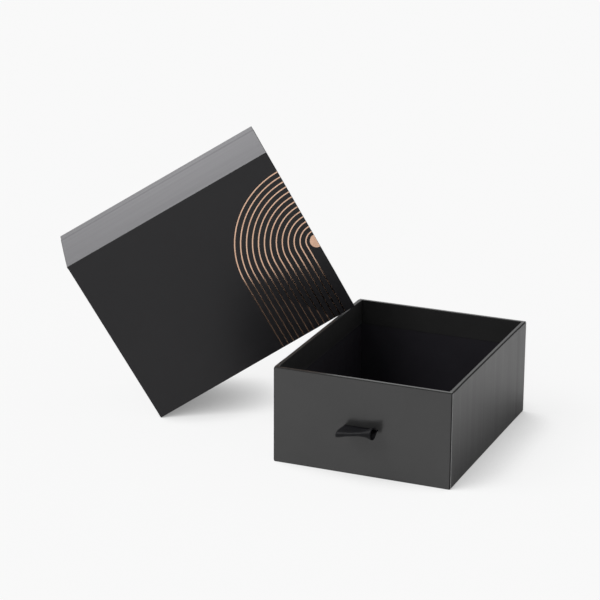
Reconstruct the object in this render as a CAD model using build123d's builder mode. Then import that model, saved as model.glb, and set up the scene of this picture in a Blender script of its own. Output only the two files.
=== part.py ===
"""Rigid board gift box: an open drawer with a ribbon pull, and the foil-printed sleeve that it slides in.

The sleeve has been drawn off and leans over the drawer's left rim, one end edge on the floor.
Millimetres, +Z up. The origin is the middle of the drawer's underside, and the drawer's front faces -Y.
"""

from build123d import *
import math
import os

os.makedirs("parts", exist_ok=True)

# ---- drawer ----
drawer_width = 120.0
drawer_length = 149.2
drawer_height = 64.4
drawer_board = 2.0
rim_rounding = 0.5  # of the boards' outer edges, worn down by the wrap
turn_in = 17.0  # how far the wrap comes down inside the rim
corner_tab = 16.5  # front and back flaps turn this far round each corner, under the side flaps
flap_setback = 0.6  # from the corner to the raw edge of a side flap
lining_drop = 3.0  # from the rim to the top of the wall lining, hidden by the turn-in

# ---- papers ----
wrap_paper = 0.15
lining_paper = 0.15
stay_paper = 0.1
stay_leg = 12.0

# ---- ribbon pull ----
ribbon_width = 22.5
ribbon_thickness = 0.4
slit_play = 0.2  # round the two layers in the slit
loop_gap = 0.5  # from the drawer's face to where the loop begins, about which it swings
patch_border = 4.0
patch_play = 0.2
patch_below_turn_in = 1.2
# place across the ribbon from -1 to 1, height of the loop, rise of its middle, reach from the face
loop_stations = (
    (-1.0, 4.2, -1.9, 13.1),
    (-0.35, 2.9, -0.9, 12.4),
    (0.3, 3.6, 0.2, 11.8),
    (1.0, 9.2, 1.0, 11.2),
)

# ---- sleeve ----
sleeve_board = 1.2
slide_clearance = 0.4  # all round the drawer inside the sleeve
sleeve_headroom = 1.6  # more over the drawer than beside it
sleeve_overhang = 0.5  # past each end of the drawer
sleeve_edge_radius = 0.35
sleeve_turn_in = 15.0
sleeve_lining_setback = 3.0
seam_from_underside = 8.5  # the wrap's last edge, on the left wall

# ---- foil print ----
foil_thickness = 0.05
foil_line = 0.8
arch_count = 13
arch_pitch = 3.97
arch_first_radius = 7.35
arch_centre = 54.1  # from the face's right long edge, on the edge of its back end
dot_radius = 4.75

# ---- how the sleeve leans ----
sleeve_yaw = 31.88
sleeve_lean = 28.92
contact_from_back = 47.54  # where the sleeve's edge crosses the drawer's left rim
contact_gap = 0.3

# ---- drawer walls, from the outside in ----
half_width = drawer_width / 2
half_length = drawer_length / 2
side_board_face = half_width - 2 * wrap_paper - stay_paper
end_board_face = half_length - wrap_paper - stay_paper
side_lining_face = side_board_face - drawer_board
end_lining_face = end_board_face - drawer_board
side_turn_face = side_lining_face - lining_paper
end_turn_face = end_lining_face - lining_paper
side_inner_face = side_turn_face - wrap_paper
end_inner_face = end_turn_face - wrap_paper
base_board_top = wrap_paper + drawer_board
rim_board_top = drawer_height - wrap_paper
turn_in_low = drawer_height - turn_in
lining_top = drawer_height - lining_drop
slit_height = drawer_height / 2
slit_width = ribbon_width + 2 * slit_play
slit_gap = 2 * ribbon_thickness + 2 * slit_play
# the ribbon's glued length, up and down from the slit, with the patch over it clear of the turn-in
ribbon_tail = turn_in_low - patch_below_turn_in - patch_border - slit_height

# ---- sleeve section and its place ----
sleeve_wall = 2 * wrap_paper + stay_paper + sleeve_board + lining_paper
sleeve_width = drawer_width + 2 * (slide_clearance + sleeve_wall)
sleeve_height = drawer_height + 2 * (slide_clearance + sleeve_wall) + sleeve_headroom
sleeve_length = drawer_length + 2 * sleeve_overhang
wrap_depth = wrap_paper
stay_depth = wrap_depth + stay_paper
board_depth = stay_depth + sleeve_board
lining_depth = board_depth + lining_paper

yaw = math.radians(sleeve_yaw)
lean = math.radians(sleeve_lean)
along = Vector(math.cos(lean) * math.cos(yaw), math.cos(lean) * math.sin(yaw), math.sin(lean))
across = Vector(-math.sin(lean) * math.cos(yaw), -math.sin(lean) * math.sin(yaw), math.cos(lean))
face_normal = Vector(math.sin(yaw), -math.cos(yaw), 0)

# the sleeve's right top edge runs up from the floor and passes just over the drawer's left rim
climb = (drawer_height + contact_gap) / math.tan(lean)
floor_corner = Vector(
    -half_width - climb * math.cos(yaw),
    half_length - contact_from_back - climb * math.sin(yaw),
    0,
)
sleeve_middle = floor_corner + across * (sleeve_width / 2) - face_normal * (sleeve_height / 2)
# sketch planes square to the sleeve: x runs to its left wall and y to its printed face
sleeve_section = Plane(origin=sleeve_middle, x_dir=across, z_dir=along)
print_plane = Plane(
    origin=floor_corner + along * sleeve_length + across * arch_centre,
    x_dir=across * -1,
    z_dir=face_normal,
)


def save(piece, name):
    """Label a finished piece and write it as its own file."""
    piece.part.label = name
    export_step(piece.part, f"parts/{name}.step")


# ==== drawer: boards ====
with BuildPart() as base_board:
    with BuildSketch(Plane.XY.offset(wrap_paper)):
        Rectangle(2 * side_board_face, 2 * end_board_face)
    extrude(amount=drawer_board)
save(base_board, "drawer_base_board")

with BuildPart() as front_board:
    with BuildSketch(Plane.XY.offset(base_board_top)):
        with Locations((0, -end_board_face + drawer_board / 2)):
            Rectangle(2 * side_board_face, drawer_board)
    extrude(amount=rim_board_top - base_board_top)
    fillet(front_board.edges().filter_by(Axis.X).group_by(Axis.Z)[-1].sort_by(Axis.Y)[0], rim_rounding)
    with BuildSketch(Plane.XZ.offset(half_length)):
        with Locations((0, slit_height)):
            Rectangle(slit_width, slit_gap)
    extrude(amount=-drawer_length / 2, mode=Mode.SUBTRACT)
save(front_board, "drawer_front_board")

with BuildPart() as back_board:
    with BuildSketch(Plane.XY.offset(base_board_top)):
        with Locations((0, end_board_face - drawer_board / 2)):
            Rectangle(2 * side_board_face, drawer_board)
    extrude(amount=rim_board_top - base_board_top)
    fillet(back_board.edges().filter_by(Axis.X).group_by(Axis.Z)[-1].sort_by(Axis.Y)[-1], rim_rounding)
save(back_board, "drawer_back_board")

for side, name in ((-1, "left"), (1, "right")):
    with BuildPart() as side_board:
        with BuildSketch(Plane.XY.offset(base_board_top)):
            with Locations((side * (side_board_face - drawer_board / 2), 0)):
                Rectangle(drawer_board, 2 * end_lining_face)
        extrude(amount=rim_board_top - base_board_top)
        rim = side_board.edges().filter_by(Axis.Y).group_by(Axis.Z)[-1].sort_by(Axis.X)
        fillet(rim[0] if side < 0 else rim[-1], rim_rounding)
    save(side_board, f"drawer_{name}_board")

# ==== drawer: a folded paper stay outside each upright corner of the boards ====
corners = ((-1, -1), (1, -1), (1, 1), (-1, 1))
for number, (x_way, y_way) in enumerate(corners, 1):
    with BuildPart() as corner_stay:
        with BuildSketch(Plane.XY.offset(base_board_top)):
            with BuildLine():
                Polyline(
                    (x_way * (side_board_face - stay_leg), y_way * end_board_face),
                    (x_way * side_board_face, y_way * end_board_face),
                    (x_way * side_board_face, y_way * (end_board_face - stay_leg)),
                    (x_way * (side_board_face + stay_paper), y_way * (end_board_face - stay_leg)),
                    (x_way * (side_board_face + stay_paper), y_way * (end_board_face + stay_paper)),
                    (x_way * (side_board_face - stay_leg), y_way * (end_board_face + stay_paper)),
                    close=True,
                )
            make_face()
        extrude(amount=rim_board_top - base_board_top)
    save(corner_stay, f"drawer_corner_stay_{number}")

# ==== drawer: the black wrap, flap by flap ====
with BuildPart() as wrap_base:
    with BuildSketch(Plane.XY):
        Rectangle(drawer_width, drawer_length)
    extrude(amount=wrap_paper)
save(wrap_base, "drawer_wrap_base")

tab_face = half_width - wrap_paper
tab_board_face = tab_face - wrap_paper
for way, name in ((-1, "front"), (1, "back")):
    with BuildPart() as end_flap:
        # up the outside, over the rim and down inside
        with BuildSketch(Plane.YZ):
            with BuildLine():
                Polyline(
                    (way * half_length, wrap_paper),
                    (way * half_length, drawer_height),
                    (way * end_inner_face, drawer_height),
                    (way * end_inner_face, turn_in_low),
                    (way * end_turn_face, turn_in_low),
                    (way * end_turn_face, rim_board_top),
                    (way * (half_length - wrap_paper), rim_board_top),
                    (way * (half_length - wrap_paper), wrap_paper),
                    close=True,
                )
            make_face()
        extrude(amount=tab_face, both=True)
        # the turn-in and the rim stop at the side walls, and tabs turn the corners
        with BuildSketch(Plane.XY.offset(wrap_paper)):
            for side in (-1, 1):
                with BuildLine():
                    Polyline(
                        (side * tab_face, way * half_length),
                        (side * tab_face, way * (half_length - corner_tab)),
                        (side * tab_board_face, way * (half_length - corner_tab)),
                        (side * tab_board_face, way * half_length),
                        close=True,
                    )
                make_face()
        extrude(amount=rim_board_top - wrap_paper)
        with BuildSketch(Plane.XY.offset(turn_in_low)):
            for side in (-1, 1):
                with Locations((side * (side_turn_face + half_width) / 2, way * end_inner_face)):
                    Rectangle(half_width - side_turn_face, 2 * wrap_paper)
        extrude(amount=rim_board_top - turn_in_low, mode=Mode.SUBTRACT)
        if name == "front":
            with BuildSketch(Plane.XZ.offset(half_length)):
                with Locations((0, slit_height)):
                    Rectangle(slit_width, slit_gap)
            extrude(amount=-wrap_paper, mode=Mode.SUBTRACT)
    save(end_flap, f"drawer_wrap_{name}")

for side, name in ((-1, "left"), (1, "right")):
    with BuildPart() as side_flap:
        with BuildSketch(Plane.XZ):
            with BuildLine():
                Polyline(
                    (side * (half_width - wrap_paper), rim_board_top),
                    (side * half_width, rim_board_top),
                    (side * half_width, drawer_height),
                    (side * side_inner_face, drawer_height),
                    (side * side_inner_face, turn_in_low),
                    (side * side_turn_face, turn_in_low),
                    (side * side_turn_face, rim_board_top),
                    close=True,
                )
            make_face()
        extrude(amount=end_inner_face, both=True)
        # the outside ends in a raw edge just short of each corner
        with BuildSketch(Plane.XY.offset(wrap_paper)):
            with Locations((side * (half_width - wrap_paper / 2), 0)):
                Rectangle(wrap_paper, drawer_length - 2 * flap_setback)
        extrude(amount=drawer_height - wrap_paper)
    save(side_flap, f"drawer_wrap_{name}")

# ==== drawer: lining ====
with BuildPart() as lining_walls:
    with BuildSketch(Plane.XY.offset(base_board_top + lining_paper)):
        Rectangle(2 * side_lining_face, 2 * end_lining_face)
        Rectangle(2 * side_turn_face, 2 * end_turn_face, mode=Mode.SUBTRACT)
    extrude(amount=lining_top - base_board_top - lining_paper)
    with BuildSketch(Plane.XZ.offset(half_length)):
        with Locations((0, slit_height)):
            Rectangle(slit_width, slit_gap)
    extrude(amount=-drawer_length / 2, mode=Mode.SUBTRACT)
save(lining_walls, "drawer_lining_walls")

with BuildPart() as lining_floor:
    with BuildSketch(Plane.XY.offset(base_board_top)):
        Rectangle(2 * side_lining_face, 2 * end_lining_face)
    extrude(amount=lining_paper)
save(lining_floor, "drawer_lining_floor")

# ==== ribbon: two layers through the slit, glued up and down inside under a patch ====
tail_face = end_turn_face - ribbon_thickness
with BuildPart() as ribbon_tails:
    with BuildSketch(Plane.YZ):
        with BuildLine():
            Polyline(
                (-half_length, slit_height - ribbon_thickness),
                (-end_turn_face, slit_height - ribbon_thickness),
                (-end_turn_face, slit_height - ribbon_tail),
                (-tail_face, slit_height - ribbon_tail),
                (-tail_face, slit_height + ribbon_tail),
                (-end_turn_face, slit_height + ribbon_tail),
                (-end_turn_face, slit_height + ribbon_thickness),
                (-half_length, slit_height + ribbon_thickness),
                close=True,
            )
        make_face()
    extrude(amount=ribbon_width / 2, both=True)
save(ribbon_tails, "ribbon_tails")

with BuildPart() as ribbon_patch:
    with BuildSketch(Plane.XZ.offset(end_turn_face)):
        with Locations((0, slit_height)):
            Rectangle(ribbon_width + 2 * patch_border, 2 * (ribbon_tail + patch_border))
    extrude(amount=-(ribbon_thickness + lining_paper))
    with BuildSketch(Plane.XZ.offset(end_turn_face)):
        with Locations((0, slit_height)):
            Rectangle(ribbon_width + 2 * patch_play, 2 * (ribbon_tail + patch_play))
    extrude(amount=-ribbon_thickness, mode=Mode.SUBTRACT)
save(ribbon_patch, "ribbon_patch")

loop_start = half_length + loop_gap


def loop_outline(station, inset):
    """One outline of the loop across its width, drawn in by inset: flat at the slit, round at the fold."""
    _, height, rise, reach = station
    nose = height / 2 - inset
    middle = slit_height + rise
    nose_centre = half_length + reach - height / 2
    root = ribbon_thickness - inset
    root_place = loop_start + 2 * inset
    slant = math.sqrt(0.5) * nose
    with BuildLine() as outline:
        Line((-root_place, slit_height - root), (-nose_centre, middle - nose))
        ThreePointArc(
            (-nose_centre, middle - nose),
            (-nose_centre - slant, middle - slant),
            (-nose_centre - nose, middle),
        )
        ThreePointArc(
            (-nose_centre - nose, middle),
            (-nose_centre - slant, middle + slant),
            (-nose_centre, middle + nose),
        )
        Line((-nose_centre, middle + nose), (-root_place, slit_height + root))
        Line((-root_place, slit_height + root), (-root_place, slit_height - root))
    make_face(outline.edges())


with BuildPart() as ribbon_loop:
    for station in loop_stations:
        with BuildSketch(Plane.YZ.offset(station[0] * ribbon_width / 2)):
            loop_outline(station, 0)
    loft()
    for station in loop_stations:
        with BuildSketch(Plane.YZ.offset(station[0] * ribbon_width / 2)):
            loop_outline(station, ribbon_thickness * 0.9)
    loft(mode=Mode.SUBTRACT)
save(ribbon_loop, "ribbon_loop")


# ==== sleeve: every wall is one side of a ring round the drawer's space ====
def sleeve_outline(depth, mode=Mode.ADD):
    """The sleeve's section, drawn in by depth from its outer surface."""
    radius = sleeve_edge_radius - depth
    if radius > wrap_paper:
        RectangleRounded(sleeve_width - 2 * depth, sleeve_height - 2 * depth, radius, mode=mode)
    else:
        Rectangle(sleeve_width - 2 * depth, sleeve_height - 2 * depth, mode=mode)


def wall_layer(turn, outer_depth, inner_depth):
    """One wall's share of the ring between two depths, mitred at the sleeve's long edges."""
    sleeve_outline(outer_depth)
    sleeve_outline(inner_depth, Mode.SUBTRACT)
    upright = turn % 2
    reach = (sleeve_height if upright else sleeve_width) / 2
    far = (sleeve_width if upright else sleeve_height) / 2
    mitre = 2 * sleeve_wall
    with BuildLine() as wedge:
        corner = [(-reach, far), (reach, far), (reach - mitre, far - mitre), (mitre - reach, far - mitre)]
        angle = -90 * turn
        Polyline(*[Vector(x, y).rotate(Axis.Z, angle) for x, y in corner], close=True)
    make_face(wedge.edges(), mode=Mode.INTERSECT)


# quarter turns from the printed face: left, underside, right
walls = ("top", "left", "bottom", "right")
for turn, name in enumerate(walls):
    with BuildPart() as wall_board:
        with BuildSketch(sleeve_section.offset(wrap_paper)):
            wall_layer(turn, stay_depth, board_depth)
        extrude(amount=sleeve_length - 2 * wrap_paper)
    save(wall_board, f"sleeve_{name}_board")

    with BuildPart() as wall_wrap:
        with BuildSketch(sleeve_section):
            wall_layer(turn, 0, wrap_depth)
        extrude(amount=sleeve_length)
        # folded over both ends and glued down inside
        with BuildSketch(sleeve_section, sleeve_section.offset(sleeve_length - wrap_paper)):
            wall_layer(turn, 0, sleeve_wall)
        extrude(amount=wrap_paper)
        with BuildSketch(sleeve_section, sleeve_section.offset(sleeve_length - sleeve_turn_in)):
            wall_layer(turn, lining_depth, sleeve_wall)
        extrude(amount=sleeve_turn_in)
    save(wall_wrap, f"sleeve_wrap_{name}")

with BuildPart() as wrap_lap:
    # the sheet's outer end lies over the left wall, and its last edge shows as a seam
    with BuildSketch(sleeve_section):
        with BuildLine():
            Polyline(
                (sleeve_width / 2, sleeve_height / 2 - sleeve_edge_radius),
                (sleeve_width / 2 + wrap_paper, sleeve_height / 2 - sleeve_edge_radius - wrap_paper),
                (sleeve_width / 2 + wrap_paper, seam_from_underside - sleeve_height / 2),
                (sleeve_width / 2, seam_from_underside - sleeve_height / 2),
                close=True,
            )
        make_face()
    extrude(amount=sleeve_length)
save(wrap_lap, "sleeve_wrap_lap")

for number, (x_way, y_way) in enumerate(corners, 1):
    with BuildPart() as edge_stay:
        with BuildSketch(sleeve_section.offset(wrap_paper)):
            sleeve_outline(wrap_depth)
            sleeve_outline(stay_depth, Mode.SUBTRACT)
            with Locations((x_way * sleeve_width / 2, y_way * sleeve_height / 2)):
                Rectangle(2 * stay_leg, 2 * stay_leg, mode=Mode.INTERSECT)
        extrude(amount=sleeve_length - 2 * wrap_paper)
    save(edge_stay, f"sleeve_edge_stay_{number}")

with BuildPart() as sleeve_lining:
    with BuildSketch(sleeve_section.offset(sleeve_lining_setback)):
        sleeve_outline(board_depth)
        sleeve_outline(lining_depth, Mode.SUBTRACT)
    extrude(amount=sleeve_length - 2 * sleeve_lining_setback)
save(sleeve_lining, "sleeve_lining")

# ==== foil print: arches round a dot, their legs running to the face's right edge ====
leg_end = arch_centre - sleeve_edge_radius
for number in range(1, arch_count + 1):
    radius = arch_first_radius + (number - 1) * arch_pitch
    outer = radius + foil_line / 2
    inner = radius - foil_line / 2
    slant = math.sqrt(0.5)
    with BuildPart() as foil_arch:
        with BuildSketch(print_plane):
            with BuildLine():
                Line((leg_end, -outer), (0, -outer))
                ThreePointArc((0, -outer), (-outer * slant, -outer * slant), (-outer, 0))
                Line((-outer, 0), (-inner, 0))
                ThreePointArc((-inner, 0), (-inner * slant, -inner * slant), (0, -inner))
                Line((0, -inner), (leg_end, -inner))
                Line((leg_end, -inner), (leg_end, -outer))
            make_face()
        extrude(amount=foil_thickness)
    save(foil_arch, f"foil_arch_{number:02d}")

with BuildPart() as foil_dot:
    with BuildSketch(print_plane):
        Circle(dot_radius)
        with Locations((0, -dot_radius)):
            Rectangle(2 * dot_radius, 2 * dot_radius, mode=Mode.INTERSECT)
    extrude(amount=foil_thickness)
save(foil_dot, "foil_dot")
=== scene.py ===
"""Looks of a sliding drawer gift box: black paper wrap, foil-printed sleeve and ribbon pull.

The drawer stands on the floor and the sleeve leans over its left rim. All sizes are in metres, in the
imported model's own frame: +Z up, the drawer's front facing -Y, the origin under the drawer's middle.
"""

import logging
import math
from collections.abc import Callable, Iterable
from dataclasses import dataclass
from enum import Enum

import bmesh
import bpy
from mathutils import Matrix, Vector


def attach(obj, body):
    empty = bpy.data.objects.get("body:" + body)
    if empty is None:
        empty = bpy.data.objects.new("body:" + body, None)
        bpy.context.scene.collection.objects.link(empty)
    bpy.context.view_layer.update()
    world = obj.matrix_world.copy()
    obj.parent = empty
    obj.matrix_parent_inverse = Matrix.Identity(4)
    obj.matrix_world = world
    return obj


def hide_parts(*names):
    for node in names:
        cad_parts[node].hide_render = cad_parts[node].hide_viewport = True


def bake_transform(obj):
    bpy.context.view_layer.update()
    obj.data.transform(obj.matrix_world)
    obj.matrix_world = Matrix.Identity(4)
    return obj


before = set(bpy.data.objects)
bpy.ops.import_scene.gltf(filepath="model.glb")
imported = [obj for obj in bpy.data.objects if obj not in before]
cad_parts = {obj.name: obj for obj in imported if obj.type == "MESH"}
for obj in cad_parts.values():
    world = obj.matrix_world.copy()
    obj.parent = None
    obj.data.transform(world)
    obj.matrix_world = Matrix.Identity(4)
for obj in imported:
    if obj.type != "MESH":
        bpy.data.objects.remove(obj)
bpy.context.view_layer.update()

log = logging.getLogger("gift_box")
MM = 0.001
SLACK = 0.01 * MM
ROUNDING = 1e-9
FLAT = 0.99  # least part along an axis of a flat face's normal, once the folds are rounded
SQUARE_ON = 0.9  # the same before that, when every face is flat
CUT_PAPER = 1  # material index of a sheet's cut edge, after its skin at 0
NOISE_RANGE = (0.3, 0.7)  # where most of a noise's values lie
WHOLE = (0.0, 1.0)


class Kind(Enum):
    """What a selection holds, as Blender's corner, edge and face switches."""

    CORNERS = (True, False, False)
    EDGES = (False, True, False)
    FACES = (False, False, True)


class Facing(Enum):
    """Turns that bring a flat card, made facing up, to face another way."""

    UP = (0.0, 0.0, 0.0)
    RIGHT = (0.0, math.pi / 2, 0.0)
    LEFT = (0.0, -math.pi / 2, 0.0)


def near(a: float, b: float) -> bool:
    """Whether two places are the same, within a hundredth of a millimetre."""
    return abs(a - b) < SLACK


class Workpiece:
    """One mesh under the maker's hands, shaped in edit mode."""

    def __init__(self, obj: bpy.types.Object, name: str) -> None:
        """Name a new primitive, lay its size and place into its mesh and open it for editing."""
        self.obj = obj
        obj.name = name
        obj.data.name = name
        bpy.ops.object.transform_apply(location=True, rotation=True, scale=True)
        bpy.ops.object.mode_set(mode="EDIT")
        bpy.ops.mesh.select_all(action="DESELECT")

    @classmethod
    def card(cls, name: str, middle: Vector, size: tuple[float, float], facing: Facing) -> "Workpiece":
        """Start from a flat card.

        Args:
            name: the piece's name.
            middle: the card's middle.
            size: the card's two sides before it is turned.
            facing: the way that the card looks.

        Returns:
            The workpiece, open for editing.
        """
        bpy.ops.object.select_all(action="DESELECT")
        bpy.ops.mesh.primitive_plane_add(size=1.0, location=middle, rotation=facing.value)
        obj = bpy.context.active_object
        obj.scale = (size[0], size[1], 1.0)
        return cls(obj, name)

    @classmethod
    def block(cls, name: str, low: Vector, high: Vector) -> "Workpiece":
        """Start from a closed block.

        Args:
            name: the piece's name.
            low: the block's lowest corner.
            high: the block's highest corner.

        Returns:
            The workpiece, open for editing.
        """
        bpy.ops.object.select_all(action="DESELECT")
        bpy.ops.mesh.primitive_cube_add(size=1.0, location=(low + high) / 2)
        obj = bpy.context.active_object
        obj.scale = high - low
        return cls(obj, name)

    def pick(self, kind: Kind, test: Callable[..., bool]) -> int:
        """Select what passes a test, and nothing else.

        Args:
            kind: what is selected.
            test: takes a corner's place, an edge's two ends, or a face's middle and normal.

        Returns:
            How many were selected.
        """
        bpy.context.tool_settings.mesh_select_mode = kind.value
        bpy.ops.mesh.select_all(action="DESELECT")
        mesh = bmesh.from_edit_mesh(self.obj.data)
        chosen = 0
        if kind is Kind.CORNERS:
            pairs = ((corner, (corner.co,)) for corner in mesh.verts)
        elif kind is Kind.EDGES:
            pairs = ((edge, (edge.verts[0].co, edge.verts[1].co)) for edge in mesh.edges)
        else:
            pairs = ((face, (face.calc_center_median(), face.normal)) for face in mesh.faces)
        for part, facts in pairs:
            if test(*facts):
                part.select_set(True)
                chosen += 1
        bmesh.update_edit_mesh(self.obj.data)
        return chosen

    def cut(self, places: Iterable[float], way: Vector) -> None:
        """Cut across the whole mesh at each place along a direction."""
        for place in places:
            bpy.ops.mesh.select_all(action="SELECT")
            bpy.ops.mesh.bisect(plane_co=way * place, plane_no=way)
        bpy.ops.mesh.select_all(action="DESELECT")

    def drop(self, test: Callable[[Vector, Vector], bool]) -> None:
        """Delete the faces that pass a test."""
        if self.pick(Kind.FACES, test):
            bpy.ops.mesh.delete(type="FACE")

    def pull(self, step: Vector) -> None:
        """Extrude what is selected by a step."""
        bpy.ops.mesh.extrude_region_move(TRANSFORM_OT_translate={"value": step})

    def shift(self, step: Vector) -> None:
        """Move what is selected by a step."""
        bpy.ops.transform.translate(value=step)

    def round_off(self, radius: float, segments: int) -> None:
        """Round the selected edges."""
        bpy.ops.mesh.bevel(offset=radius, segments=segments, affect="EDGES", clamp_overlap=True)

    def thicken(self, thickness: float) -> None:
        """Leave edit mode and give the sheet its thickness, inwards, with its cut edges marked."""
        bpy.ops.object.mode_set(mode="OBJECT")
        wall = self.obj.modifiers.new("paper", "SOLIDIFY")
        wall.thickness = thickness
        wall.offset = -1.0
        wall.use_even_offset = True
        wall.material_offset_rim = CUT_PAPER
        bpy.ops.object.modifier_apply(modifier=wall.name)

    def finish(self, place: Matrix | None = None) -> bpy.types.Object:
        """Mark the folds for the finish, smooth the roundings and lay the piece in its place.

        Args:
            place: where the piece goes, if it was made square to the axes elsewhere.

        Returns:
            The finished object, its place in its mesh.
        """
        if self.obj.mode == "EDIT":
            bpy.ops.object.mode_set(mode="OBJECT")
        mesh = self.obj.data
        flat: set[int] = set()
        for face in mesh.polygons:
            if face.material_index == 0 and max(abs(value) for value in face.normal) > FLAT:
                flat.update(face.vertices)
        folds = mesh.attributes.new("fold", "FLOAT", "POINT")
        for corner in mesh.vertices:
            folds.data[corner.index].value = 0.0 if corner.index in flat else 1.0
        bpy.ops.object.shade_smooth_by_angle(angle=math.radians(35))
        level = self.obj.modifiers.new("level", "WEIGHTED_NORMAL")
        level.keep_sharp = True
        bpy.ops.object.modifier_apply(modifier=level.name)
        if place is not None:
            self.obj.matrix_world = place
            bpy.ops.object.transform_apply(location=True, rotation=True, scale=True)
        return self.obj


class Graph:
    """A material's shader nodes, added and joined one by one."""

    def __init__(self, name: str) -> None:
        """Start an empty material that ends in one shader."""
        self.material = bpy.data.materials.new(name)
        self.material.use_nodes = True
        self.tree = self.material.node_tree
        self.tree.nodes.clear()
        self.shader = self.tree.nodes.new("ShaderNodeBsdfPrincipled")
        self.output = self.tree.nodes.new("ShaderNodeOutputMaterial")
        self.join(self.shader.outputs[0], self.output.inputs["Surface"])

    def add(self, kind: str, settings: dict[str, object] | None = None,
            **inputs: object) -> bpy.types.Node:
        """Add a node.

        Args:
            kind: the node's Blender type, without its common beginning.
            settings: the node's own switches.
            inputs: values or sockets for its inputs, by name, with _ for a space.

        Returns:
            The node.
        """
        node = self.tree.nodes.new("ShaderNode" + kind)
        for key, value in (settings or {}).items():
            setattr(node, key, value)
        for key, value in inputs.items():
            socket = node.inputs[key.replace("_", " ")]
            if isinstance(value, bpy.types.NodeSocket):
                self.join(value, socket)
            else:
                socket.default_value = value
        return node

    def join(self, source: bpy.types.NodeSocket, target: bpy.types.NodeSocket) -> None:
        """Join an output to an input."""
        self.tree.links.new(source, target)

    def place(self, turn: Matrix | None, stretch: tuple[float, float, float]) -> bpy.types.NodeSocket:
        """Object coordinates, turned square to the piece and then stretched.

        Args:
            turn: the piece's own axes, or None where it stands square.
            stretch: how often the pattern repeats along each axis.

        Returns:
            The coordinates' socket.
        """
        here = self.add("TexCoord").outputs["Object"]
        if turn is not None:
            square = self.add("Mapping", Vector=here)
            square.inputs["Rotation"].default_value = turn.inverted().to_euler()
            here = square.outputs[0]
        return self.add("Mapping", Vector=here, Scale=stretch).outputs[0]

    def noise(self, where: bpy.types.NodeSocket, detail: float,
              roughness: float) -> bpy.types.NodeSocket:
        """Noise of one turn per unit of the coordinates given."""
        node = self.add("TexNoise", Vector=where, Scale=1.0, Detail=detail, Roughness=roughness)
        return node.outputs["Fac"]

    def spread(self, value: bpy.types.NodeSocket, limits: tuple[float, float],
               result: tuple[float, float]) -> bpy.types.NodeSocket:
        """Map a value between two limits to a result between two others."""
        node = self.add("MapRange", {"clamp": True}, Value=value, From_Min=limits[0], From_Max=limits[1],
                        To_Min=result[0], To_Max=result[1])
        return node.outputs[0]

    def blend(self, factor: bpy.types.NodeSocket, a: object, b: object) -> bpy.types.NodeSocket:
        """Mix two colours by a factor."""
        node = self.add("Mix", {"data_type": "RGBA"})
        self.join(factor, node.inputs[0])
        for slot, value in ((6, a), (7, b)):
            if isinstance(value, bpy.types.NodeSocket):
                self.join(value, node.inputs[slot])
            else:
                node.inputs[slot].default_value = value
        return node.outputs[2]


@dataclass(frozen=True)
class WrapFinish:
    """Black laminated wrapping paper: a satin skin with faint streaks, duller where it is folded."""

    name: str
    deep: tuple[float, float, float, float]
    pale: tuple[float, float, float, float]
    rubbed: tuple[float, float, float, float]
    gloss: tuple[float, float]
    specular: float
    worn: float
    streaks: tuple[float, float, float]
    streak_depth: float

    def make(self, turn: Matrix | None = None) -> bpy.types.Material:
        """Build the material.

        Args:
            turn: the piece's own axes, or None where it stands square.

        Returns:
            The material.
        """
        graph = Graph(self.name)
        clouds = graph.noise(graph.place(turn, (22.0, 22.0, 22.0)), 3.0, 0.55)
        streaks = graph.noise(graph.place(turn, self.streaks), 4.0, 0.6)
        tooth = graph.noise(graph.place(turn, (2600.0, 2600.0, 2600.0)), 2.0, 0.6)
        fold = graph.add("Attribute", {"attribute_name": "fold"}).outputs["Fac"]
        tone = graph.blend(graph.spread(clouds, NOISE_RANGE, WHOLE), self.deep, self.pale)
        scuffs = graph.noise(graph.place(turn, (700.0, 700.0, 700.0)), 3.0, 0.7)
        rub = graph.add("Math", {"operation": "MULTIPLY"})
        graph.join(fold, rub.inputs[0])
        graph.join(graph.spread(scuffs, (0.4, 0.65), (0.15, 1.0)), rub.inputs[1])
        graph.join(graph.blend(rub.outputs[0], tone, self.rubbed), graph.shader.inputs["Base Color"])
        graph.join(graph.spread(streaks, NOISE_RANGE, self.gloss), graph.shader.inputs["Roughness"])
        swell = graph.add("Bump", Height=streaks, Strength=1.0, Distance=self.streak_depth)
        grain = graph.add("Bump", Height=tooth, Strength=0.5, Distance=0.012 * MM)
        graph.join(swell.outputs[0], grain.inputs["Normal"])
        graph.join(grain.outputs[0], graph.shader.inputs["Normal"])
        graph.join(graph.spread(fold, (0.0, 0.8), (self.specular, self.specular * self.worn)),
                   graph.shader.inputs["Specular IOR Level"])
        return graph.material


@dataclass(frozen=True)
class FibreFinish:
    """Bare paper or board: matt, with short fibres in its colour and surface."""

    name: str
    deep: tuple[float, float, float, float]
    pale: tuple[float, float, float, float]
    fibre: tuple[float, float, float]
    relief: float

    def make(self, turn: Matrix | None = None) -> bpy.types.Material:
        """Build the material.

        Args:
            turn: the piece's own axes, or None where it stands square.

        Returns:
            The material.
        """
        graph = Graph(self.name)
        fibres = graph.noise(graph.place(turn, self.fibre), 4.0, 0.65)
        patches = graph.noise(graph.place(turn, (60.0, 60.0, 60.0)), 2.0, 0.5)
        mix = graph.add("Math", {"operation": "ADD"})
        graph.join(graph.spread(fibres, (0.35, 0.65), (0.0, 0.6)), mix.inputs[0])
        graph.join(graph.spread(patches, NOISE_RANGE, (0.0, 0.4)), mix.inputs[1])
        graph.join(graph.blend(mix.outputs[0], self.deep, self.pale), graph.shader.inputs["Base Color"])
        graph.join(graph.spread(fibres, NOISE_RANGE, (0.8, 0.95)), graph.shader.inputs["Roughness"])
        bump = graph.add("Bump", Height=fibres, Strength=0.6, Distance=self.relief)
        graph.join(bump.outputs[0], graph.shader.inputs["Normal"])
        graph.shader.inputs["Specular IOR Level"].default_value = 0.3
        return graph.material


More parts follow.
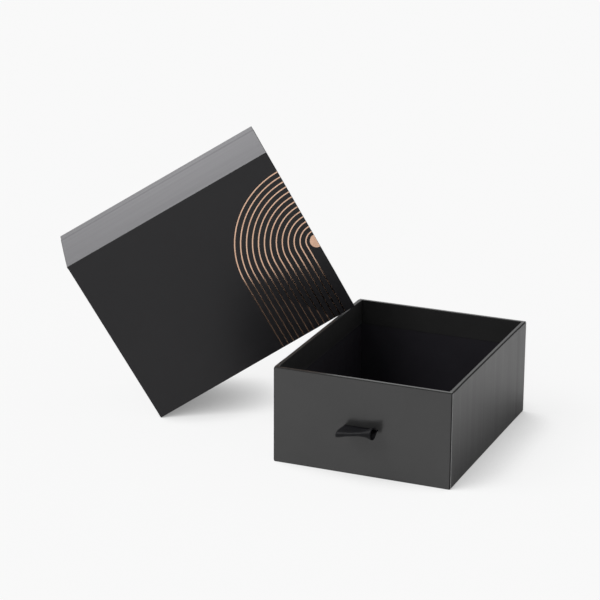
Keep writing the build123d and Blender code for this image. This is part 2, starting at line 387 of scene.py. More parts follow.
@dataclass(frozen=True)
class FoilFinish:
    """Hot-pressed copper foil, bright metal that lies on the paper's tooth."""

    name: str
    bright: tuple[float, float, float, float]
    dull: tuple[float, float, float, float]
    gloss: tuple[float, float]

    def make(self, turn: Matrix | None = None) -> bpy.types.Material:
        """Build the material.

        Args:
            turn: the sleeve's own axes.

        Returns:
            The material.
        """
        graph = Graph(self.name)
        cloud = graph.noise(graph.place(turn, (90.0, 90.0, 90.0)), 3.0, 0.6)
        tooth = graph.noise(graph.place(turn, (1500.0, 1500.0, 1500.0)), 2.0, 0.6)
        graph.join(graph.blend(graph.spread(cloud, NOISE_RANGE, WHOLE), self.bright, self.dull),
                   graph.shader.inputs["Base Color"])
        graph.join(graph.spread(cloud, NOISE_RANGE, self.gloss), graph.shader.inputs["Roughness"])
        bump = graph.add("Bump", Height=tooth, Strength=0.1, Distance=0.002 * MM)
        graph.join(bump.outputs[0], graph.shader.inputs["Normal"])
        graph.shader.inputs["Metallic"].default_value = 1.0
        return graph.material


@dataclass(frozen=True)
class RibbonFinish:
    """Black satin ribbon: fine ribs across and long floats that shine."""

    name: str
    thread: tuple[float, float, float, float]
    shade: tuple[float, float, float, float]
    ribs: float
    warp: float

    def make(self) -> bpy.types.Material:
        """Build the material on the ribbon's own map, in metres across and along."""
        graph = Graph(self.name)
        own = graph.add("UVMap", {"uv_map": "weave"}).outputs[0]
        rib = graph.add("TexWave", {"wave_type": "BANDS", "bands_direction": "Y"},
                        Vector=own, Scale=self.ribs, Distortion=0.6, Detail=1.0).outputs["Fac"]
        warp = graph.add("TexWave", {"wave_type": "BANDS", "bands_direction": "X"},
                         Vector=own, Scale=self.warp, Distortion=0.8, Detail=1.0).outputs["Fac"]
        floats = graph.add("Mapping", Vector=own, Scale=(500.0, 60.0, 1.0)).outputs[0]
        pull = graph.noise(floats, 3.0, 0.6)
        weave = graph.add("Math", {"operation": "MULTIPLY_ADD"})
        graph.join(warp, weave.inputs[0])
        weave.inputs[1].default_value = 0.4
        graph.join(rib, weave.inputs[2])
        # the ribs' low parts, where the bump sinks, take the darker colour: painted shade in the weave
        graph.join(graph.blend(graph.spread(weave.outputs[0], (0.2, 1.2), WHOLE), self.shade,
                               self.thread), graph.shader.inputs["Base Color"])
        graph.join(graph.spread(pull, NOISE_RANGE, (0.48, 0.60)), graph.shader.inputs["Roughness"])
        bump = graph.add("Bump", Height=weave.outputs[0], Strength=0.5, Distance=0.015 * MM)
        graph.join(bump.outputs[0], graph.shader.inputs["Normal"])
        graph.shader.inputs["Specular IOR Level"].default_value = 0.16
        graph.shader.inputs["Anisotropic"].default_value = 0.3
        return graph.material


def shade(level: float, warmth: float = 0.0) -> tuple[float, float, float, float]:
    """A near-grey colour in linear light, with a little warmth added."""
    return (level * (1.0 + warmth), level, level * (1.0 - warmth), 1.0)


STREAKS = (260.0, 260.0, 9.0)
LINING_PALE = (0.014, 0.013, 0.017, 1.0)
DRAWER_WRAP = WrapFinish("drawer_wrap", deep=shade(0.021), pale=shade(0.025), rubbed=shade(0.022),
                         gloss=(0.20, 0.24), specular=0.6, worn=0.05, streaks=STREAKS,
                         streak_depth=0.003 * MM)
# the side walls wear the drawer's own paper, coloured darker than on the front and back: painted shade
# on the sides
SHADED_SIDE_WRAP = WrapFinish("drawer_side_wrap_shaded", deep=shade(0.018), pale=shade(0.022), rubbed=shade(0.018),
                       gloss=(0.36, 0.42), specular=0.5, worn=0.05, streaks=STREAKS,
                       streak_depth=0.006 * MM)
SLEEVE_WRAP = WrapFinish("sleeve_wrap", deep=(0.0094, 0.0089, 0.0104, 1.0),
                         pale=(0.0110, 0.0105, 0.0120, 1.0), rubbed=shade(0.02), gloss=(0.33, 0.37),
                         specular=0.31, worn=0.3, streaks=STREAKS, streak_depth=0.003 * MM)
LINING_PAPER = WrapFinish("lining_paper", deep=(0.011, 0.010, 0.013, 1.0), pale=LINING_PALE,
                          rubbed=LINING_PALE, gloss=(0.55, 0.7), specular=0.2, worn=1.0,
                          streaks=(120.0, 120.0, 120.0), streak_depth=0.01 * MM)
CUT_EDGE = FibreFinish("cut_paper_edge", shade(0.40), shade(0.60), (900.0, 900.0, 900.0), 0.02 * MM)
GREYBOARD = FibreFinish("greyboard", shade(0.20, 0.04), shade(0.33, 0.06),
                        (300.0, 300.0, 900.0), 0.05 * MM)
STAY_PAPER = FibreFinish("stay_paper", shade(0.30, 0.15), shade(0.42, 0.12),
                         (500.0, 500.0, 120.0), 0.03 * MM)
COPPER = FoilFinish("copper_foil", (0.76, 0.50, 0.36, 1.0), (0.66, 0.42, 0.30, 1.0), (0.13, 0.18))
SATIN = RibbonFinish("black_satin", (0.004, 0.004, 0.005, 1.0), (0.002, 0.002, 0.003, 1.0), 520.0, 260.0)


def show(name: str, data: bpy.types.ID) -> bpy.types.Object:
    """Put a new object with the data given in the scene."""
    obj = bpy.data.objects.new(name, data)
    bpy.context.scene.collection.objects.link(obj)
    return obj


def dress(node: str, material: bpy.types.Material) -> None:
    """Give a carried-over node its finish."""
    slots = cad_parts[node].data.materials
    slots.clear()
    slots.append(material)


def settle(obj: bpy.types.Object, body: str, stands_for: Iterable[str],
           materials: Iterable[bpy.types.Material]) -> None:
    """Finish a new piece and tie it to its body and nodes.

    Args:
        obj: the piece.
        body: the body that it rides on.
        stands_for: the nodes that it replaces.
        materials: its materials, in the order of its material indices.
    """
    for material in materials:
        obj.data.materials.append(material)
    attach(obj, body)
    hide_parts(*stands_for)
    log.info("%s: %d faces on %s", obj.name, len(obj.data.polygons), body)


@dataclass
class Drawer:
    """The open drawer: greyboard walls in a black wrap that turns in over the rim."""

    half_width: float = 60.0 * MM
    half_length: float = 74.6 * MM
    height: float = 64.4 * MM
    paper: float = 0.15 * MM
    stay_paper: float = 0.1 * MM
    side_inner: float = 57.3 * MM
    end_inner: float = 72.05 * MM
    turn_in: float = 17.0 * MM
    corner_tab: float = 16.5 * MM
    flap_setback: float = 0.6 * MM
    fold_radius: float = 0.65 * MM
    right_rim_radius: float = 0.9 * MM
    left_rim_radius: float = 0.35 * MM
    inner_rim_radius: float = 0.3 * MM
    stay_leg: float = 12.0 * MM
    stay_foot: float = 3.0 * MM
    stay_head: float = 1.5 * MM
    stay_radius: float = 0.4 * MM
    base_side_gap: float = 1.6 * MM
    base_end_gap: float = 0.1 * MM
    under_turn: float = 1.5 * MM
    fold_reach: float = 0.3 * MM
    slit_half_width: float = 11.45 * MM
    slit_half_gap: float = 0.6 * MM
    tuck: float = 0.8 * MM
    stay_step: float = 0.02 * MM
    tab_step: float = 0.14 * MM
    step_width: float = 1.4 * MM
    lifted_end: float = 0.12 * MM
    pale_end_strip: float = 0.4 * MM

    def side_flap(self, side: int) -> bpy.types.Object:
        """Fold one side flap: up the wall, over the rim and down inside.

        Args:
            side: 1 for the right wall, -1 for the left.

        Returns:
            The folded flap, ending in raw edges just short of the corners.
        """
        name = "right_flap" if side > 0 else "left_flap"
        facing = Facing.RIGHT if side > 0 else Facing.LEFT
        reach = self.half_length - self.flap_setback
        flap = Workpiece.card(name, Vector((side * self.half_width, 0, self.height / 2)),
                              (self.height, 2 * reach), facing)
        tab_end = self.half_length - self.corner_tab
        stay_end = self.half_length - self.stay_leg
        worn = reach - self.pale_end_strip
        steps = (worn, self.end_inner, stay_end, stay_end - self.step_width,
                 tab_end, tab_end - self.step_width)
        flap.cut([way * step for step in steps for way in (1, -1)], Vector((0, 1, 0)))
        # the flap lies lower between the layers under its ends
        for end, depth in ((stay_end, self.stay_step), (tab_end, self.tab_step)):
            flap.pick(Kind.CORNERS, lambda at: abs(at.y) < end - self.step_width + SLACK)
            flap.shift(Vector((-side * depth, 0, 0)))
        # its corners tuck down under the roundings of the rim and the bottom
        for level, lift in ((self.height, -self.tuck), (0.0, self.tuck)):
            flap.pick(Kind.CORNERS, lambda at: near(at.z, level) and abs(at.y) > self.end_inner + SLACK)
            flap.shift(Vector((0, 0, lift)))
        # and its raw ends stand off a little
        flap.pick(Kind.CORNERS, lambda at: near(abs(at.y), reach))
        flap.shift(Vector((side * self.lifted_end, 0, 0)))

        def along(a: Vector, b: Vector, level: float) -> bool:
            """Whether an edge runs along the wall at a level, between the inner faces."""
            low = near(a.z, level) and near(b.z, level)
            return low and max(abs(a.y), abs(b.y)) < self.end_inner + SLACK

        flap.pick(Kind.EDGES, lambda a, b: along(a, b, 0.0))
        flap.pull(Vector((-side * self.under_turn, 0, 0)))
        flap.pick(Kind.EDGES, lambda a, b: along(a, b, self.height))
        flap.pull(Vector((-side * (self.half_width - self.side_inner), 0, 0)))
        inner = side * self.side_inner
        bpy.ops.transform.resize(value=(0.0, 1.0, 1.0), center_override=(inner, 0.0, 0.0))
        flap.pull(Vector((0, 0, -self.turn_in)))
        flap.pick(Kind.EDGES, lambda a, b: (along(a, b, self.height) or along(a, b, 0.0))
                  and min(abs(a.x), abs(b.x)) > self.half_width - self.fold_reach)
        flap.round_off(self.right_rim_radius if side > 0 else self.left_rim_radius, segments=5)
        flap.pick(Kind.EDGES, lambda a, b: along(a, b, self.height)
                  and max(abs(a.x), abs(b.x)) < self.side_inner + self.fold_reach)
        flap.round_off(self.inner_rim_radius, segments=3)
        flap.thicken(self.paper)
        # the last strip before each raw end takes the pale cut-edge colour
        for face in flap.obj.data.polygons:
            if abs(face.center.y) > worn:
                face.material_index = CUT_PAPER
        return flap.finish()

    def end_flap(self, way: int) -> bpy.types.Object:
        """Fold the front or back flap, with tabs that turn both corners.

        Args:
            way: -1 for the front, 1 for the back.

        Returns:
            The folded flap. The front one has the ribbon's slit.
        """
        name = "front_flap" if way < 0 else "back_flap"
        tab_face = self.half_width - self.paper
        ends = sorted((way * self.half_length, way * (self.half_length - self.corner_tab)))
        flap = Workpiece.block(name, Vector((-tab_face, ends[0], 0)),
                               Vector((tab_face, ends[1], self.height)))
        flap.cut((way * self.end_inner, way * (self.end_inner - self.tuck)), Vector((0, 1, 0)))
        flap.cut((self.side_inner, -self.side_inner), Vector((1, 0, 0)))
        if way < 0:
            flap.cut((self.slit_half_width, -self.slit_half_width), Vector((1, 0, 0)))
            slit = self.height / 2
            flap.cut((slit - self.slit_half_gap, slit + self.slit_half_gap), Vector((0, 0, 1)))
            flap.drop(lambda at, facing: near(at.y, -self.half_length)
                      and abs(at.x) < self.slit_half_width
                      and abs(at.z - slit) < self.slit_half_gap)
        flap.drop(lambda at, facing: facing.y * way < -SQUARE_ON)
        flap.drop(lambda at, facing: abs(facing.z) > SQUARE_ON and at.y * way < self.end_inner)
        # the tabs end lower than the rim, under the side flaps
        for level, lift in ((self.height, -self.tuck), (0.0, self.tuck)):
            flap.pick(Kind.CORNERS, lambda at: near(at.z, level) and at.y * way < self.end_inner - SLACK)
            flap.shift(Vector((0, 0, lift)))

        def inner_rim(a: Vector, b: Vector) -> bool:
            """Whether an edge runs along the rim's inner side, between the side walls."""
            return (near(a.z, self.height) and near(b.z, self.height)
                    and near(a.y * way, self.end_inner) and near(b.y * way, self.end_inner)
                    and max(abs(a.x), abs(b.x)) < self.side_inner + SLACK)

        flap.pick(Kind.EDGES, inner_rim)
        flap.pull(Vector((0, 0, -self.turn_in)))

        def folded(a: Vector, b: Vector) -> bool:
            """Whether an edge is one of the flap's folds."""
            outer_y = near(a.y * way, self.half_length) and near(b.y * way, self.half_length)
            outer_x = near(abs(a.x), tab_face) and near(abs(b.x), tab_face) and near(a.x, b.x)
            level = near(a.z, b.z) and (near(a.z, self.height) or near(a.z, 0.0))
            upright = outer_x and outer_y
            return upright or (level and (outer_y or outer_x))

        flap.pick(Kind.EDGES, folded)
        flap.round_off(self.fold_radius, segments=4)
        flap.pick(Kind.EDGES, inner_rim)
        flap.round_off(self.inner_rim_radius, segments=3)
        flap.thicken(self.paper)
        return flap.finish()

    def base_sheet(self) -> bpy.types.Object:
        """Cut the sheet under the drawer, between the flaps' first folds."""
        size = (2 * (self.half_width - self.base_side_gap), 2 * (self.end_inner - self.base_end_gap))
        sheet = Workpiece.card("base_wrap", Vector((0, 0, self.paper)), size, Facing.UP)
        sheet.thicken(self.paper)
        return sheet.finish()

    def corner_stay(self, number: int, x_way: int, y_way: int) -> bpy.types.Object:
        """Fold a paper stay round one upright corner of the boards.

        Args:
            number: the stay's number.
            x_way: 1 for the right side, -1 for the left.
            y_way: 1 for the back, -1 for the front.

        Returns:
            The folded stay.
        """
        side = self.half_width - 2 * self.paper
        end = self.half_length - self.paper
        low, high = self.stay_foot, self.height - self.stay_head
        facing = Facing.RIGHT if x_way > 0 else Facing.LEFT
        middle = Vector((x_way * side, y_way * (end - self.stay_leg / 2), (low + high) / 2))
        stay = Workpiece.card(f"corner_stay_{number}", middle, (high - low, self.stay_leg), facing)
        stay.pick(Kind.EDGES, lambda a, b: near(a.y, y_way * end) and near(b.y, y_way * end))
        stay.pull(Vector((-x_way * self.stay_leg, 0, 0)))
        stay.pick(Kind.EDGES, lambda a, b: near(a.y, y_way * end) and near(b.y, y_way * end)
                  and near(a.x, x_way * side) and near(b.x, x_way * side))
        stay.round_off(self.stay_radius, segments=3)
        stay.thicken(self.stay_paper)
        return stay.finish()

    def build(self) -> None:
        """Model the wrap and stays and dress what lies under them."""
        wrap, edge, shaded_side_wrap = DRAWER_WRAP.make(), CUT_EDGE.make(), SHADED_SIDE_WRAP.make()
        stay, board, lining = STAY_PAPER.make(), GREYBOARD.make(), LINING_PAPER.make()
        for side, node in ((1, "drawer_wrap_right"), (-1, "drawer_wrap_left")):
            # the side flaps take the darker copy of the wrap, which paints shade on the side walls
            settle(self.side_flap(side), "drawer", [node], (shaded_side_wrap, edge))
        for way, node in ((-1, "drawer_wrap_front"), (1, "drawer_wrap_back")):
            settle(self.end_flap(way), "drawer", [node], (wrap, edge))
        settle(self.base_sheet(), "drawer", ["drawer_wrap_base"], (wrap, edge))
        corners = ((-1, -1), (1, -1), (1, 1), (-1, 1))
        for number, (x_way, y_way) in enumerate(corners, 1):
            settle(self.corner_stay(number, x_way, y_way), "drawer",
                   [f"drawer_corner_stay_{number}"], (stay, stay))
        for name in ("base", "front", "back", "left", "right"):
            dress(f"drawer_{name}_board", board)
        for node in ("drawer_lining_walls", "drawer_lining_floor", "ribbon_patch"):
            dress(node, lining)


@dataclass
class Sleeve:
    """The sleeve, open at both ends, leaning over the drawer's left rim."""

    width: float = 124.3 * MM
    height: float = 70.3 * MM
    length: float = 150.2 * MM
    wall: float = 1.75 * MM
    paper: float = 0.15 * MM
    fold_radius: float = 0.35 * MM
    turn_in: float = 15.0 * MM
    seam_from_underside: float = 10.5 * MM
    swell: float = 0.45 * MM
    seam_lift: float = 0.2 * MM
    seam_width: float = 2.6 * MM
    seam_crease: float = 0.3 * MM
    yaw: float = math.radians(31.88)
    lean: float = math.radians(28.92)
    rim_height: float = 64.7 * MM
    rim_x: float = -60.0 * MM
    rim_y: float = 27.06 * MM

    def place(self) -> Matrix:
        """The sleeve's own axes: x to its left wall, y out of its print, z up its length."""
        along = Vector((math.cos(self.lean) * math.cos(self.yaw),
                        math.cos(self.lean) * math.sin(self.yaw), math.sin(self.lean)))
        across = Vector((-math.sin(self.lean) * math.cos(self.yaw),
                         -math.sin(self.lean) * math.sin(self.yaw), math.cos(self.lean)))
        out = Vector((math.sin(self.yaw), -math.cos(self.yaw), 0))
        climb = self.rim_height / math.tan(self.lean)
        corner = Vector((self.rim_x - climb * math.cos(self.yaw),
                         self.rim_y - climb * math.sin(self.yaw), 0))
        middle = corner + across * (self.width / 2) - out * (self.height / 2)
        axes = Matrix((across, out, along)).transposed().to_4x4()
        return Matrix.Translation(middle) @ axes

    def wrap(self) -> bpy.types.Object:
        """Fold the wrap round the four walls and in at both ends."""
        half_width, half_height = self.width / 2, self.height / 2
        tube = Workpiece.block("sleeve_wrap", Vector((-half_width, -half_height, 0)),
                               Vector((half_width, half_height, self.length)))
        tube.drop(lambda at, facing: abs(facing.z) > SQUARE_ON)
        # the print's fold lies level with the sheet's outer end, which goes over the left wall
        high = half_height - self.fold_radius
        tube.cut((high, high - 2 * self.paper), Vector((0, 1, 0)))
        tube.pick(Kind.CORNERS, lambda at: at.y > high - SLACK and near(at.x, half_width))
        tube.shift(Vector((self.paper, 0, 0)))
        self.bow(tube, half_width)

        def deep(at: Vector) -> bool:
            """Whether a point lies at the opening, rather than outside on the wall."""
            return min(half_width - abs(at.x), half_height - abs(at.y)) > self.wall / 2

        for level, way in ((0.0, 1), (self.length, -1)):
            tube.pick(Kind.EDGES, lambda a, b: near(a.z, level) and near(b.z, level))
            tube.pull(Vector((0, 0, 0)))
            shrink = (1 - self.wall / half_width, 1 - self.wall / half_height, 1.0)
            bpy.ops.transform.resize(value=shrink, center_override=(0.0, 0.0, level))
            # inside, the sheet lies flat on the board
            inner = half_width - self.wall
            tube.pick(Kind.CORNERS, lambda at: near(at.z, level) and deep(at) and at.x > inner - SLACK)
            bpy.ops.transform.resize(value=(0.0, 1.0, 1.0), center_override=(inner, 0.0, level))
            tube.pick(Kind.EDGES, lambda a, b: near(a.z, level) and near(b.z, level)
                      and deep(a) and deep(b))
            tube.pull(Vector((0, 0, way * self.turn_in)))

        def folded(a: Vector, b: Vector) -> bool:
            """Whether an edge is one of the four long ones or runs round an end."""
            along = (abs(a.z - b.z) > self.turn_in and near(abs(a.y), half_height)
                     and abs(a.x) > half_width - SLACK)
            level = near(a.z, b.z) and (near(a.z, 0.0) or near(a.z, self.length))
            return along or (level and deep(a) == deep(b))

        tube.pick(Kind.EDGES, folded)
        tube.round_off(self.fold_radius, segments=4)
        tube.thicken(self.paper)
        return tube.finish(self.place())

    def seam(self) -> float:
        """Where the sheet's outer end stops on the left wall."""
        return self.seam_from_underside - self.height / 2

    def bow(self, piece: Workpiece, face: float) -> None:
        """Let the left wall swell a little between its long edges, as glued board does.

        Args:
            piece: the sheet that goes over the wall.
            face: how far out it lies at the long edges.
        """
        seam = self.seam()
        foot = seam + self.seam_width
        levels = [seam, foot, foot + self.seam_crease]
        levels += [self.height / 2 * step / 4 for step in range(-2, 4)]
        piece.cut(levels, Vector((0, 1, 0)))
        for level in levels:
            rise = self.swell * (1 - (2 * level / self.height) ** 2)
            if near(level, seam):
                rise += self.seam_lift
            piece.pick(Kind.CORNERS, lambda at: near(at.y, level) and at.x > face - SLACK)
            piece.shift(Vector((rise, 0, 0)))

    def lap(self) -> bpy.types.Object:
        """Lay the sheet's outer end over the left wall, to the seam near the underside."""
        low, high = self.seam(), self.height / 2 - self.fold_radius
        face = self.width / 2 + self.paper
        length = self.length + 2 * self.paper
        sheet = Workpiece.card("sleeve_lap", Vector((face, (low + high) / 2, self.length / 2)),
                               (length, high - low), Facing.RIGHT)
        self.bow(sheet, face)
        for level in (-self.paper, self.length + self.paper):
            sheet.pick(Kind.EDGES, lambda a, b: near(a.z, level) and near(b.z, level))
            sheet.pull(Vector((-self.wall, 0, 0)))
        sheet.pick(Kind.EDGES, lambda a, b: near(a.z, b.z) and min(a.x, b.x) > face - SLACK
                   and (a.z < SLACK or a.z > self.length))
        sheet.round_off(self.fold_radius + self.paper, segments=4)
        sheet.thicken(self.paper)
        return sheet.finish(self.place())

    def build(self) -> None:
        """Model the wrap and dress the boards, stays, lining and foil."""
        axes = self.place().to_3x3()
        wrap, edge = SLEEVE_WRAP.make(axes), CUT_EDGE.make(axes)
        board, stay, lining = GREYBOARD.make(axes), STAY_PAPER.make(axes), LINING_PAPER.make(axes)
        foil = COPPER.make(axes)
        names = ("top", "left", "bottom", "right")
        walls = [f"sleeve_wrap_{name}" for name in names]
        settle(self.wrap(), "sleeve", walls, (wrap, edge))
        settle(self.lap(), "sleeve", ["sleeve_wrap_lap"], (wrap, edge))
        for number, name in enumerate(names, 1):
            dress(f"sleeve_{name}_board", board)
            dress(f"sleeve_edge_stay_{number}", stay)
        dress("sleeve_lining", lining)
        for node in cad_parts:
            if node.startswith("foil_"):
                dress(node, foil)


@dataclass(frozen=True)
class Station:
    """The loop's outline at one place across the ribbon."""

    across: float
    height: float
    rise: float
    reach: float
    drift: float


@dataclass
class RibbonPull:
    """A strip of satin ribbon folded through the slit into a pull, its tails glued inside."""

    half_width: float = 11.25 * MM
    thickness: float = 0.28 * MM
    slit_height: float = 32.2 * MM
    wall_face: float = 74.6 * MM
    tail_face: float = 72.0 * MM
    tail: float = 9.9 * MM
    layer: float = 0.2 * MM
    loop_gap: float = 0.3 * MM
    columns: int = 24
    tip_steps: int = 12
    flank_steps: int = 14
    stations: tuple[Station, ...] = (
        Station(-1.0, 4.3 * MM, -1.9 * MM, 13.2 * MM, -0.9 * MM),
        Station(-0.35, 2.8 * MM, -0.9 * MM, 12.4 * MM, -0.5 * MM),
        Station(0.3, 2.9 * MM, 0.1 * MM, 11.8 * MM, -0.5 * MM),
        Station(0.62, 4.3 * MM, 0.35 * MM, 11.4 * MM, -0.7 * MM),
        Station(1.0, 8.0 * MM, 0.2 * MM, 11.2 * MM, -1.0 * MM),
    )

    def station(self, across: float) -> Station:
        """The outline at any place across, on smooth lines through the given ones."""
        knots = self.stations
        index = max(i for i in range(len(knots) - 1) if knots[i].across <= across + ROUNDING)
        a, b = knots[index], knots[index + 1]
        share = (across - a.across) / (b.across - a.across)
        ease = share * share * (3 - 2 * share)
        mix = 0.5 * share + 0.5 * ease

        def between(key: str) -> float:
            """One measure between the two stations."""
            return getattr(a, key) * (1 - mix) + getattr(b, key) * mix

        return Station(across, between("height"), between("rise"), between("reach"), between("drift"))

    def path(self, across: float) -> list[Vector]:
        """The ribbon's line at one place across, from the upper tail round to the lower one.

        Args:
            across: the place, from -1 at the left edge to 1 at the right.

        Returns:
            The points of its middle layer.
        """
        here = self.station(across)
        x = across * self.half_width
        nose = here.height / 2 - self.thickness / 2
        middle = self.slit_height + here.rise
        centre = self.wall_face + here.reach - here.height / 2
        root = self.wall_face + self.loop_gap
        upper = self.flank(root, self.slit_height + self.layer, centre, middle + nose, 1)
        lower = self.flank(root, self.slit_height - self.layer, centre, middle - nose, -1)
        turns = [math.pi * step / self.tip_steps for step in range(1, self.tip_steps)]
        tip = [Vector((0, -centre - nose * math.sin(turn), middle + nose * math.cos(turn)))
               for turn in turns]
        tails = []
        for way in (1, -1):
            bend = [Vector((0, -self.tail_face, self.slit_height + way * self.tail * share))
                    for share in (1.0, 0.75, 0.5, 0.25, 0.09)]
            layer = self.slit_height + way * self.layer
            bend += [Vector((0, -self.tail_face - 0.1 * MM, layer + way * 0.25 * MM)),
                     Vector((0, -self.tail_face - 0.4 * MM, layer)),
                     Vector((0, -self.wall_face + 0.8 * MM, layer))]
            tails.append(bend)
        line = tails[0] + upper + tip + lower[::-1] + tails[1][::-1]
        return [Vector((x + here.drift * max(0.0, (-at.y - root) / here.reach) ** 2, at.y, at.z))
                for at in line]

    def flank(self, root: float, level: float, end: float, top: float, way: int) -> list[Vector]:
        """One side of the loop, from the slit to where the fold begins.

        Args:
            root: how far out the side begins.
            level: its height there.
            end: how far out the fold begins.
            top: its height there.
            way: 1 for the upper side, -1 for the lower.

        Returns:
            The side's points.
        """
        run = end - root
        start, goal = Vector((0, root, level)), Vector((0, end, top))
        first = start + Vector((0, run * 0.35, 0.12 * (top - level)))
        second = goal - Vector((0, run * 0.45, -way * 0.08 * run))
        points = []
        for step in range(self.flank_steps + 1):
            t = step / self.flank_steps
            at = (start * (1 - t) ** 3 + first * 3 * t * (1 - t) ** 2 + second * 3 * t * t * (1 - t)
                  + goal * t ** 3)
            points.append(Vector((0, -at.y, at.z)))
        return points

    def sheet(self) -> bpy.types.Object:
        """Lay the ribbon out as one strip of cloth with its own map."""
        lines = [self.path(-1 + 2 * column / self.columns) for column in range(self.columns + 1)]
        mesh = bmesh.new()
        grid = [[mesh.verts.new(place) for place in line] for line in lines]
        weave = mesh.loops.layers.uv.new("weave")
        for column in range(self.columns):
            length = 0.0
            for row in range(len(lines[0]) - 1):
                step = (lines[column][row + 1] - lines[column][row]).length
                corners = (grid[column][row], grid[column][row + 1],
                           grid[column + 1][row + 1], grid[column + 1][row])
                face = mesh.faces.new(corners)
                face.smooth = True
                left = column / self.columns * 2 * self.half_width
                right = (column + 1) / self.columns * 2 * self.half_width
                places = ((left, length), (left, length + step), (right, length + step), (right, length))
                for loop, place in zip(face.loops, places):
                    loop[weave].uv = place
                length += step
        data = bpy.data.meshes.new("ribbon")
        mesh.to_mesh(data)
        mesh.free()
        ribbon = show("ribbon", data)
        bpy.ops.object.select_all(action="DESELECT")
        ribbon.select_set(True)
        bpy.context.view_layer.objects.active = ribbon
        body = ribbon.modifiers.new("cloth", "SOLIDIFY")
        body.thickness = self.thickness
        body.offset = 0.0
        bpy.ops.object.modifier_apply(modifier=body.name)
        return ribbon

    def build(self) -> None:
        """Model the ribbon and lay it in its place, tied to no body."""
        ribbon = self.sheet()
        ribbon.data.materials.append(SATIN.make())
        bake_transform(ribbon)
        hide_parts("ribbon_loop", "ribbon_tails")
        log.info("ribbon: %d faces on drawer and pull", len(ribbon.data.polygons))


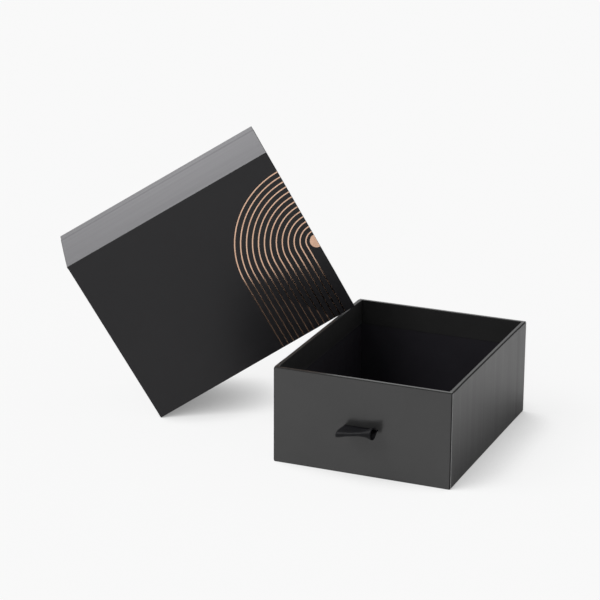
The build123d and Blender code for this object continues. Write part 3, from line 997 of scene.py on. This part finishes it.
@dataclass
class Studio:
    """A pale floor, soft lamps and the camera where the photographer stood."""

    eye: tuple[float, float, float] = (0.505242, -1.382511, 0.586508)
    back: tuple[float, float, float] = (0.366002, -0.874699, 0.317718)
    right: tuple[float, float, float] = (0.921894, 0.387415, 0.004584)
    up: tuple[float, float, float] = (-0.127099, 0.291225, 0.948174)
    lens: float = 143.67
    sensor: float = 36.0
    farthest: float = 50.0
    floor_side: float = 14.0
    floor_drop: float = 0.05 * MM
    floor_tone: float = 0.93
    backdrop: float = 0.947
    sky_light: float = 0.40
    window_light: float = 2.54
    window_way: tuple[float, float, float] = (-0.50, -0.42, 0.757)
    window_spread: float = math.radians(40)
    lamp_place: tuple[float, float, float] = (-1.3, 1.1, 0.75)
    lamp_aim: tuple[float, float, float] = (-0.07, 0.0, 0.06)
    lamp_side: float = 0.8
    lamp_power: float = 2.65
    lamp_tint: tuple[float, float, float] = (0.95, 0.94, 1.0)
    shadow_cover: float = 0.9
    shadow_reach: float = 50 * MM
    deep_shadow: float = 0.22
    clear_level: float = 0.74
    shadow_rays: int = 16
    shadow_lean: tuple[float, float, float] = (-0.34, -0.25, 0.91)

    def camera(self) -> None:
        """Set up the camera."""
        data = bpy.data.cameras.new("camera")
        data.lens = self.lens
        data.sensor_width = self.sensor
        data.clip_end = self.farthest
        camera = show("camera", data)
        axes = Matrix((self.right, self.up, self.back)).transposed().to_4x4()
        camera.matrix_world = Matrix.Translation(self.eye) @ axes
        bpy.context.scene.camera = camera

    def floor(self) -> None:
        """Lay the floor."""
        bpy.ops.object.select_all(action="DESELECT")
        bpy.ops.mesh.primitive_plane_add(size=self.floor_side, location=(0, 0, -self.floor_drop))
        floor = bpy.context.active_object
        floor.name = "floor"
        graph = Graph("floor_paper")
        drift = graph.noise(graph.place(None, (1.5, 1.5, 1.5)), 2.0, 0.5)
        tone = graph.blend(drift, shade(self.floor_tone), shade(self.floor_tone - 0.01))
        graph.join(tone, graph.shader.inputs["Base Color"])
        graph.shader.inputs["Roughness"].default_value = 0.9
        graph.shader.inputs["Specular IOR Level"].default_value = 0.0
        self.paint_floor_shadow(graph)
        floor.data.materials.append(graph.material)

    def paint_floor_shadow(self, graph: Graph) -> None:
        """Let the camera see a bright floor with a painted shadow close to the box, laid over most of
        the real one.
        """
        x, y, z = self.shadow_lean
        lean = graph.add("CombineXYZ", X=x, Y=y, Z=z)
        corner = graph.add("AmbientOcclusion", {"samples": self.shadow_rays},
                           Distance=self.shadow_reach, Normal=lean.outputs[0])
        glow = graph.spread(corner.outputs["AO"], (0.0, self.clear_level),
                            (self.deep_shadow * self.backdrop, self.backdrop))
        # the floor glows white for the camera, dimmed near the box by ambient occlusion: a painted
        # shadow
        white = graph.add("Emission", Color=(1.0, 1.0, 1.0, 1.0), Strength=glow)
        seen = graph.add("Math", {"operation": "MULTIPLY"})
        graph.join(graph.add("LightPath").outputs["Is Camera Ray"], seen.inputs[0])
        seen.inputs[1].default_value = self.shadow_cover
        cover = graph.add("MixShader", Fac=seen.outputs[0])
        graph.join(graph.shader.outputs[0], cover.inputs[1])
        graph.join(white.outputs[0], cover.inputs[2])
        graph.join(cover.outputs[0], graph.output.inputs["Surface"])

    def sky(self) -> None:
        """Light the room evenly, and show it white to the camera and to shiny surfaces."""
        world = bpy.data.worlds.new("room")
        bpy.context.scene.world = world
        world.use_nodes = True
        tree = world.node_tree
        tree.nodes.clear()
        new, join = tree.nodes.new, tree.links.new
        path = new("ShaderNodeLightPath")
        seen = path.outputs["Is Camera Ray"]
        for ray in ("Is Glossy Ray", "Is Transmission Ray"):
            either = new("ShaderNodeMath")
            either.operation = "MAXIMUM"
            join(seen, either.inputs[0])
            join(path.outputs[ray], either.inputs[1])
            seen = either.outputs[0]
        strength = new("ShaderNodeMapRange")
        join(seen, strength.inputs["Value"])
        strength.inputs["To Min"].default_value = self.sky_light
        strength.inputs["To Max"].default_value = self.backdrop
        glow = new("ShaderNodeBackground")
        glow.inputs["Color"].default_value = (1, 1, 1, 1)
        join(strength.outputs[0], glow.inputs["Strength"])
        output = new("ShaderNodeOutputWorld")
        join(glow.outputs[0], output.inputs["Surface"])

    def back_lamp(self) -> None:
        """Hang a square soft lamp behind the box, which lights only what shines."""
        data = bpy.data.lights.new("back_lamp", "AREA")
        data.shape = "SQUARE"
        data.size = self.lamp_side
        data.energy = self.lamp_power
        data.color = self.lamp_tint
        lamp = show("back_lamp", data)
        aim = Vector(self.lamp_aim) - Vector(self.lamp_place)
        turn = aim.to_track_quat("-Z", "Y").to_matrix().to_4x4()
        lamp.matrix_world = Matrix.Translation(self.lamp_place) @ turn
        lamp.visible_diffuse = False

    def window(self) -> None:
        """Let broad, soft light in from the front left, as strong over the whole floor."""
        data = bpy.data.lights.new("window", "SUN")
        data.energy = self.window_light
        data.angle = self.window_spread
        window = show("window", data)
        window.rotation_euler = Vector(self.window_way).to_track_quat("Z", "Y").to_euler()

    def build(self) -> None:
        """Set the whole studio up."""
        self.camera()
        self.floor()
        self.sky()
        self.window()
        self.back_lamp()
        bpy.context.scene.view_settings.view_transform = "Standard"


def main() -> None:
    """Build the studio and the box, and log each part as it is built."""
    logging.basicConfig(level=logging.INFO, format="%(name)s: %(message)s")
    Studio().build()
    for part in (Drawer(), Sleeve(), RibbonPull()):
        part.build()
        log.info("%s built", type(part).__name__)


if __name__ == "__main__":
    main()
